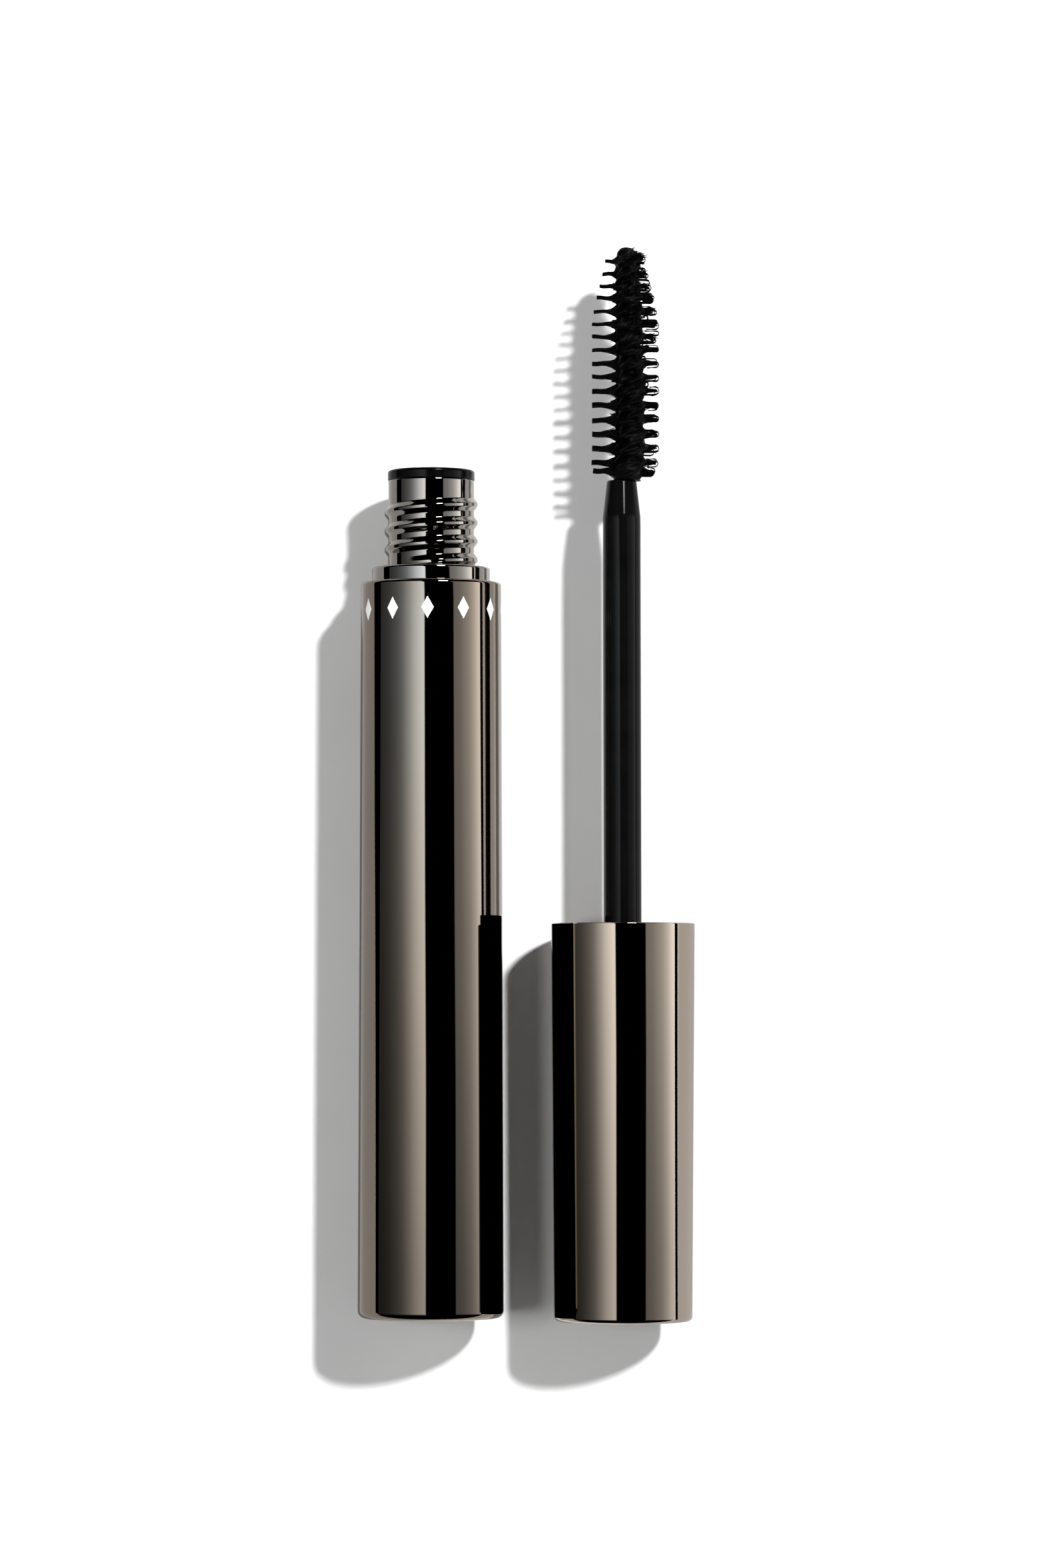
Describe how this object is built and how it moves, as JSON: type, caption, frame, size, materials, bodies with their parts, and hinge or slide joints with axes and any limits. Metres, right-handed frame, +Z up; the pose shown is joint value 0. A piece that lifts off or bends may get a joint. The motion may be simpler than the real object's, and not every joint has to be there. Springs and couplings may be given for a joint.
{
  "type": "mascara tube",
  "caption": "Slim metallised mascara tube with a threaded neck, lying open beside its wand: a cap with a thin dark stem and a spiral bristle brush.",
  "frame": {"origin": "on the resting surface, under the centre of the tube and wand together", "axes": "+Y along both axes, from the closed ends towards the neck and the brush; +X from the tube to the wand; +Z up"},
  "size_m": [0.038, 0.1212, 0.0164],
  "materials": {
    "metallised_shell": "mirror-polished warm gunmetal",
    "metallised_neck": "vacuum-metallised mirror",
    "base_plastic": "gloss",
    "label": "matte, blank",
    "wiper_rubber": "satin",
    "formula": "wet paste",
    "weight_steel": "turned",
    "insert_plastic": "satin moulded",
    "seal": "matte",
    "stem_plastic": "high gloss",
    "wire_steel": "drawn wire",
    "bristle": "nylon fibre coated with product"
  },
  "bodies": {
    "tube": {"tube_shell": "metallised_shell", "base_plug": "base_plastic", "base_label": "label", "bottle": "metallised_neck", "collar": "metallised_neck", "wiper": "wiper_rubber", "formula": "formula"},
    "seal": {"seal_ring": "seal"},
    "wand": {"cap_shell": "metallised_shell", "cap_weight": "weight_steel", "cap_insert": "insert_plastic", "stem": "stem_plastic", "brush_wire": "wire_steel", "bristles": "bristle"}
  },
  "joints": [
    {"name": "wand_swing", "type": "hinge", "parent": "tube", "child": "seal", "pos_m": [0, 0.05, 0.0082], "axis": [0, 0, 1], "range_deg": [0, 180]},
    {"name": "cap_turn", "type": "hinge", "parent": "seal", "child": "wand", "pos_m": [0.0108, 0, 0.0082], "axis": [0, 1, 0], "range_deg": [0, 1170]}
  ]
}
